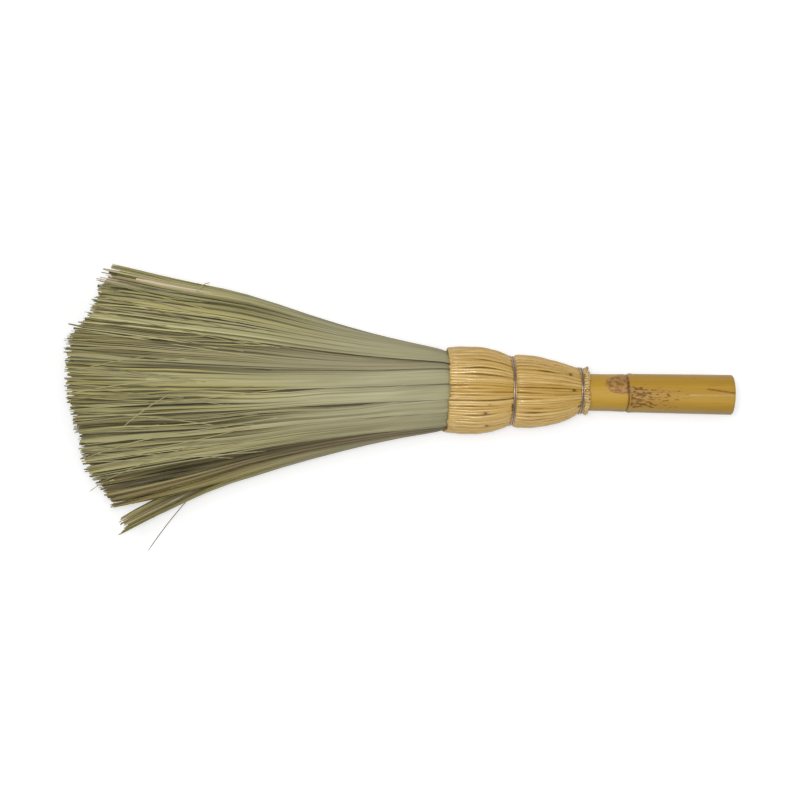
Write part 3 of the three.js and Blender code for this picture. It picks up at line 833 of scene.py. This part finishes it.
def side_splay(distance, across):
    """How far the fan's edges bend: the upper edge in, the lower edge out."""
    late = clamp((distance - 0.45 * fan_length) / (0.3 * fan_length))
    upper = smooth((across - 40 * MM) / (40 * MM)) * -4 * MM
    lower = smooth((-across - 40 * MM) / (40 * MM)) * -2.5 * MM
    return late * (upper + lower)


def strip_places(layer, before, own, distance, starts, weights, powers):
    """Width of each strip and how far its middle lies behind the blade's own edge.

    The strips fill the blade at first. Each crack between two of them opens from its own start on.
    """
    strips = len(distance)
    shares = np.exp(chance.normal(0, 0.3, strips))
    shares = shares * chance.choice([1, 1.8, 2.8], strips, p=[0.85, 0.12, 0.03])
    shares = (shares / shares.sum())[:, None]
    tip_width = blade_width(layer, before, own, FAN_REACH)
    spare = max(tip_width - strips * STRIP_TIP_WIDTH, 0.15 * tip_width)
    opening = np.clip((distance[..., None] - starts) / (FAN_REACH - starts), 0, None) ** powers
    gaps = np.minimum(opening * weights / weights.sum() * spare, WIDEST_GAP)
    left_of = np.arange(strips - 1)[None, None, :] < np.arange(strips)[:, None, None]
    whole = blade_width(layer, before, own, distance)
    filled = np.maximum(whole - gaps.sum(-1), 0.3 * whole)
    place = (np.cumsum(shares, 0) - shares / 2) * filled + np.sum(gaps * left_of, -1)
    return shares * filled, filled + gaps.sum(-1) - place


def blade(layer, before, own, in_lock):
    """Centrelines and directions of one blade's strips, with their sizes and marks."""
    strips = round(blade_width(layer, before, own, HALF_WAY) / STRIP_WIDTH)
    strips = int(np.clip(strips, *STRIPS_IN_BLADE))
    each = (strips, 1)
    middles = (np.arange(strips) + 0.5) / strips
    tip_angle = mix(edge_angle(before, FAN_REACH), edge_angle(own, FAN_REACH), middles)
    shorter = tip_shortfall(layer * fan_section(FAN_REACH)[0] * np.cos(tip_angle))
    corner = smooth((np.cos(tip_angle) - 0.72) / 0.2)  # the upper one, where the tips are the loosest
    ragged = chance.exponential(TIP_RAGGED + CORNER_RAGGED * corner) + chance.uniform(-1.5, 2.0) * MM
    longer = (chance.random(strips) < 0.05 * corner) * chance.uniform(3, 9, strips) * MM
    ragged += INNER_SHORTER * (1 - layer) - longer
    reach = LOCK_LENGTH - chance.exponential(LOCK_RAGGED, strips) if in_lock else FAN_REACH - shorter
    lengths = reach - np.clip(ragged, -1.5 * MM - 6 * MM * corner, 20 * MM)
    distance = strip_stations(lengths)
    half_width, half_depth, lift = fan_section(distance)
    a, b = layer * half_width, layer * half_depth
    first = chance.uniform(*FIRST_SPLIT)
    group = np.cumsum(chance.random(strips) < GROUP_SHARE)
    parting = np.diff(group) > 0
    starts = mix(first, LAST_SPLIT, np.where(parting, 0.4, 1) * chance.random(strips - 1) ** 0.8)
    weights = np.where(parting, 3.5, 1) * np.exp(chance.normal(0, 0.8, strips - 1))
    powers = np.where(parting, 0.75, 1.15)
    wide, behind = strip_places(layer, before, own, distance, starts, weights, powers)

    # Each strip bends a little by itself and with its neighbours, and a few stray across the others
    loose = clamp((distance - first) / (fan_length - first))
    clump = chance.normal(0, 1, group[-1] + 1)[group][:, None]
    stray = (chance.random(strips) < 0.05 + 0.15 * corner)[:, None]
    sideways = 0.5 * MM * waves(strips, distance, (0.13, 0.06)) * loose - behind
    sideways += (0.7 * MM * clump + chance.normal(0, 0.6 * MM, each)) * loose**2
    sideways += stray * chance.uniform(-STRAY_REACH, STRAY_REACH, each) * MM * loose**1.5
    height = chance.normal(0, 0.6 * MM) * loose
    height = height + 0.35 * MM * waves(strips, distance, (0.17, 0.08)) * loose
    height += (0.6 * MM * clump + chance.normal(0, 0.45 * MM, each)) * loose**2
    whole = blade_width(layer, before, own, distance)
    fresh = 1 - 0.6 * smooth((distance - 60 * MM) / (120 * MM))
    flat = np.clip(whole / 2 - behind, 0, 9 * MM) ** 2 / (2 * np.maximum(a * a / b, 27 * MM))
    height += (0.6 * flat + BLADE_RAISE * (0.6 - behind / whole)) * fresh - INNER_SINK * (layer < 1)

    end = edge_angle(own, distance)
    half_way = end + 0.5 * sideways / np.maximum(oval_pace(a, b, end), 4 * MM)
    around = end + sideways / np.maximum(oval_pace(a, b, half_way), 4 * MM)
    height += stray * STRAY_RISE * smooth(loose * 3) * clamp(np.sin(around))
    centres = oval(-distance, a, b, around, lift)
    across = oval_tangent(a, b, around)
    centres = centres + np.cross(across, np.array([1.0, 0, 0])) * height[..., None]
    centres[..., 1] += side_splay(distance, centres[..., 1])
    splay = in_lock * LOCK_SPLAY * chance.uniform(0.93, 1.03, each)
    centres[..., 1] -= splay * clamp((distance - LOCK_START) / (LOCK_LENGTH - LOCK_START)) ** 1.5
    floor = -rim.z + FLOOR_GAP * chance.uniform(0.7, 2.2, each)
    centres[..., 2] = np.maximum(centres[..., 2], floor)

    # The strips lie flatter than the bundle's outside
    level = np.array([0, -1.0, 0]) * np.sign(np.sin(around[:, -1]))[:, None, None]
    flatter = ((0.6 + 0.3 * np.cos(around) ** 2) * loose)[..., None]
    across, outward = directions(centres, mix(across, level, flatter))
    nearest = np.minimum(np.append(starts, LAST_SPLIT), np.insert(starts, 0, LAST_SPLIT))[:, None]
    free = clamp((distance - nearest) / (fan_length - nearest))
    twist = chance.normal(0, STRIP_TWIST, each) * free**1.5
    cos, sin = np.cos(twist)[..., None], np.sin(twist)[..., None]
    across, outward = across * cos + outward * sin, outward * cos - across * sin
    taper = 1 - 0.4 * smooth((distance / lengths[:, None] - 0.95) / 0.05)
    tucked = behind - whole + overlap(before, distance)
    marks = blade_marks(layer, own[3], distance, around, stray, group, tucked)
    number = chance.uniform(0, 9, (1, 1))  # for a grain of the blade's own
    grain = strand_grain(-behind[:, GRAIN_RING], wide[:, GRAIN_RING] / 2, distance, number, STRIP_SIDES)
    return {
        "centres": centres,
        "across": across,
        "outward": outward,
        "half_across": 0.51 * wide * taper,
        "half_outward": 0.5 * STRIP_THICKNESS * np.ones_like(wide),
        "marks": marks[:, :, None],
        "grain": grain,
    }


def blade_marks(layer, tan, distance, around, stray, group, tucked):
    """Yellowness, place along the leaf, brownness and lightness of a blade's strips. Lightness and brownness
    carry painted light and shade besides the strips' own tone.
    """
    each = (len(distance), 1)
    share = clamp(distance / fan_length)
    split = smooth((share - 0.2) * 2)
    turn = np.degrees(around) % 360
    low_edge = smooth((turn - LOW_EDGE[0]) / 8) * (1 - smooth((turn - LOW_EDGE[1]) / 10))
    low_edge *= smooth((share - 0.28) * 4)
    # Painted shade: a thin darker line along the fan's upper edge, from near the rim to half way
    upper_edge = smooth((np.cos(around) - 0.965) / 0.02)
    upper_edge = upper_edge * smooth((share - 0.06) * 8) * smooth((0.5 - share) * 8)
    own_yellow = np.abs(chance.normal(0, 0.18, each)) + 0.5 * (chance.random(each) < 0.13)
    yellow = (chance.uniform(0.0, 0.12) + own_yellow + 0.3 * stray) * split + LOW_EDGE_YELLOW * low_edge
    blanched = smooth((turn - BLANCHED[0]) / 4) * smooth((BLANCHED[1] - turn) / 5)
    blanched = blanched * smooth((share - 0.5) / 0.2) * (chance.random(each) < BLANCHED_SHARE)
    own_tan = tan * chance.uniform(*TAN_RANGE, each)
    brown = own_tan + 0.2 * (1 - layer) + 0.15 * chance.random(each) * share
    group_light = chance.normal(0, 0.1, group[-1] + 1)[group][:, None]
    own_light = chance.normal(0, 0.13 + 0.15 * tan, each)
    own_light -= 0.5 * tan * chance.random(each) ** 2
    light = 1 + np.minimum((group_light + own_light) * split, 0.2) + BLANCHED_LIGHT * blanched
    # Painted light: the strips along the fan's lower edge, which face sideways, are lighter
    light = light + LOW_EDGE_PAINTED_LIGHT * low_edge * (1 - 0.8 * tan) + 0.1 * smooth((share - 0.5) / 0.3)
    light -= UPPER_EDGE_SHADE * upper_edge
    # Painted light and shade by the way a strip faces: the fan's +Y half lighter and its -Y half darker, more
    # so towards the tips; and lighter near the rim, most at the fan's two edges
    light += 0.1 * share**2 * np.sin(2 * around) * np.sign(np.sin(around))
    light += (0.05 + 0.1 * np.abs(np.cos(around))) * (1 - share) * smooth(share * 8)
    # Painted shade where a blade reaches under its neighbour
    light = (light + chance.normal(0, 0.03)) * (1 - TUCK_SHADE * smooth(1 + tucked / TUCK_SHADE_WIDTH))
    light *= 1 - TAN_SHADE * own_tan
    # Painted light: tan strips that lie above the lower edge are lighter again, from half way out
    light += TAN_PAINTED_LIGHT * own_tan * smooth((TAN_SIDE - turn) / 10) * smooth((share - 0.45) / 0.2)
    # Painted shade: strips of the inner layers are darker and browner, except at the fan's edges and near the
    # tips
    exposed = smooth((np.abs(np.cos(around)) - 0.72) / 0.2)
    covered = smooth((1 - layer) / 0.035) * (1 - smooth((share - 0.78) / 0.18)) * (1 - exposed)
    light *= 1 - COVERED_SHADE * covered * (1 - 1.8 * own_light)
    brown += COVERED_SHADE_BROWN * covered
    yellow, brown, light = np.clip(yellow, 0, 0.85), np.clip(brown, 0, 0.9), np.clip(light, *LIGHT_RANGE)
    return stacked(yellow, share, brown, light)


def is_lock(layer, angle):
    """Whether a blade is in the lock of strips that stands away from the rest, at the fan's edge."""
    return layer > 0.9 and LOCK_ANGLES[0] < math.degrees(angle) % 360 < LOCK_ANGLES[1]


def loose_ends():
    """Both ends of fine fibres that come out of the bundle and lie on top of it as far as the tips."""
    half_tips = fan_section(FAN_REACH)[0]
    across = chance.uniform(-0.72, 0.84, LOOSE_FIBRES) * half_tips
    distance = FAN_REACH - tip_shortfall(across) - chance.exponential(3 * MM, LOOSE_FIBRES)
    tips = stacked(distance, across, chance.uniform(1.8, 3.2, LOOSE_FIBRES) * MM)
    start = distance * chance.uniform(0.4, 0.8, LOOSE_FIBRES)
    half_start = fan_section(start)[0]
    start_across = across * half_start / half_tips + chance.normal(0, 8 * MM, LOOSE_FIBRES)
    start_across = np.clip(start_across, -0.9 * half_start, 0.9 * half_start)
    return np.stack([tips, stacked(start, start_across, -2.5 * MM)], 1)


def stray_fibres():
    """Fibres that lie across the rest, the listed ones first, with as many rings as the strips have."""
    few = len(STRAY_FIBRES)

    def pick(listed, loose):
        return np.where(np.arange(count) < few, listed, loose)[:, None]

    ends = np.concatenate([np.array(STRAY_FIBRES) * MM, loose_ends()])
    count = len(ends)
    share = np.linspace(0, 1, len(STRIP_START) + len(STRIP_SHARES))[None, :]
    line = mix(ends[:, None, 0], ends[:, None, 1], share[..., None])
    distance, across, over = line[..., 0], line[..., 1], line[..., 2]
    comes_out = clamp(8 * share - 7)  # the loose ones, close to their start
    over[few:] = ends[few:, 0, 2:] * (1 - 0.75 * share) + ends[few:, 1, 2:] * comes_out
    half_width, half_depth, lift = fan_section(distance)
    top = lift + half_depth * np.sqrt(clamp(1 - (across / half_width) ** 2)) + over
    bend = pick(1.5, chance.normal(0, 1.5, count)) * MM
    centres = stacked(-distance, across + bend * np.sin(math.pi * share), top)
    path = unit(np.gradient(centres, axis=1))
    sideways = unit(np.cross(np.array([0, 0, 1.0]), path))
    half = pick(FIBRE_RADIUS, chance.uniform(0.24, 0.4, count) * MM)
    half = half * (1 - 0.5 * smooth((0.1 - share) / 0.1))
    hangs = over[:, :1] < -2 * MM
    light = np.where(hangs, 0.4, pick(1.3, chance.uniform(0.65, 1.15, count)))
    yellow = pick(0.3, chance.uniform(0.1, 0.8, count))
    marks = stacked(yellow, 0.35 + 0 * distance, 0.05, light)[:, :, None]
    return {
        "centres": centres,
        "across": sideways,
        "outward": np.cross(path, sideways),
        "half_across": half,
        "half_outward": np.minimum(half, STRIP_THICKNESS / 2),
        "marks": marks,
        "grain": strand_grain(across[:, :1], half[:, GRAIN_RING], distance, across[:, :1], STRIP_SIDES),
    }


def leaf_fan(material):
    bundles = {name: [] for name in BUNDLES}
    for rank, layer in enumerate(LAYERS):
        edges = layer_blades(rank, layer)
        for own, before in zip(edges, np.roll(edges, 1, axis=0)):
            if before[0] > own[0]:
                before = before - math.tau * np.array([1, 1, 1, 0, 0])
            angle = (before[1] + own[1]) / 2
            quarter = int(((angle + math.pi / 4) // (math.pi / 2)) % 4)
            made = blade(layer, before, own, is_lock(layer, angle))
            bundles[BUNDLES[quarter]].append(made)
    bundles["top"].append(stray_fibres())
    for name, blades in bundles.items():
        whole = {key: np.concatenate([b[key] for b in blades]) for key in blades[0]}
        marks, grain = whole.pop("marks"), whole.pop("grain")
        rings = sections(*whole.values(), STRIP_SIDES)
        nodes = ["leaf_bundle_" + name]
        new_piece("leaf_fan_" + name, rings, marks, grain, material, nodes, flat=True)


# The stage: floor, light and camera


def floor_material():
    """White where it is looked at, apart from the broom's shadow. Far from the lamps it glows more."""
    s = Shader("pale_floor")
    s.tree.nodes.remove(s.surface)
    path = s.add("LightPath")
    seen = s.math("MAXIMUM", path.outputs["Is Camera Ray"], path.outputs["Is Glossy Ray"])
    seen = s.math("MAXIMUM", seen, path.outputs["Is Transmission Ray"])
    paint = s.add("BsdfDiffuse", Color=(FLOOR_GREY, FLOOR_GREY, FLOOR_GREY, 1.0))
    place = s.add("TexCoord").outputs["Object"]
    away = s.add("VectorMath", {"operation": "LENGTH"}, _0=place).outputs["Value"]
    glow = s.add("Emission", Strength=s.times(seen, s.spread(away, 0.3, 1.8, 0.5, 0.84)))
    both = s.add("AddShader", _0=paint.outputs[0], _1=glow.outputs[0])
    output = s.tree.nodes["Material Output"]
    s.tree.links.new(both.outputs[0], output.inputs["Surface"])
    return s.material


def stage_floor():
    mesh = bpy.data.meshes.new("floor")
    reach = FLOOR_REACH
    corners = [(-reach, -reach, 0), (reach, -reach, 0), (reach, reach, 0), (-reach, reach, 0)]
    mesh.from_pydata(corners, [], [(0, 1, 2, 3)])
    mesh.materials.append(floor_material())
    floor = new_object("floor", mesh)


def stage_light():
    world = bpy.data.worlds.new("studio")
    world.use_nodes = True
    tree = world.node_tree
    path = tree.nodes.new("ShaderNodeLightPath")
    strength = tree.nodes.new("ShaderNodeMapRange")
    strength.inputs["To Min"].default_value = ROOM_LIGHT
    strength.inputs["To Max"].default_value = 1.0
    tree.links.new(path.outputs["Is Camera Ray"], strength.inputs[0])
    tree.links.new(strength.outputs[0], tree.nodes["Background"].inputs["Strength"])
    tree.nodes["Background"].inputs["Color"].default_value = (1, 1, 1, 1)
    bpy.context.scene.world = world
    for name, (place, size, power) in LAMPS.items():
        light = bpy.data.lights.new(name, "AREA")
        light.size = size
        light.energy = power
        lamp = new_object(name, light)
        lamp.location = rim + Vector(place)
        lamp.rotation_euler = (-Vector(place)).to_track_quat("-Z", "Y").to_euler()


def stage_camera():
    data = bpy.data.cameras.new("camera")
    data.angle = 2 * math.atan(PICTURE_PIXELS * PIXEL / 2 / CAMERA_DISTANCE)
    camera = new_object("camera", data)
    turn = Matrix.Rotation(-CAMERA_TILT, 4, "Y") @ Matrix.Rotation(CAMERA_ROLL, 4, "Z")
    away = turn @ Vector((0, 0, CAMERA_DISTANCE))
    camera.matrix_world = Matrix.Translation(PICTURE_MIDDLE + away) @ turn
    bpy.context.scene.camera = camera


# The whole picture

stage_camera()
stage_floor()
stage_light()
bpy.context.scene.view_settings.view_transform = "Standard"

wire_finish = wire_material()
straw_sleeve(straw_material())
bound_wire("middle_wire", middle_at, middle_outside, np.zeros_like, wire_finish)
bound_wire("neck_wire", neck_at, neck_outside, neck_rise, wire_finish)
bamboo_handle(bamboo_material())
leaf_fan(leaf_material())
steel = steel_material()
for node in ("foot_nail", "inner_tie_wire"):
    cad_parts[node].data.materials.clear()
    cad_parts[node].data.materials.append(steel)
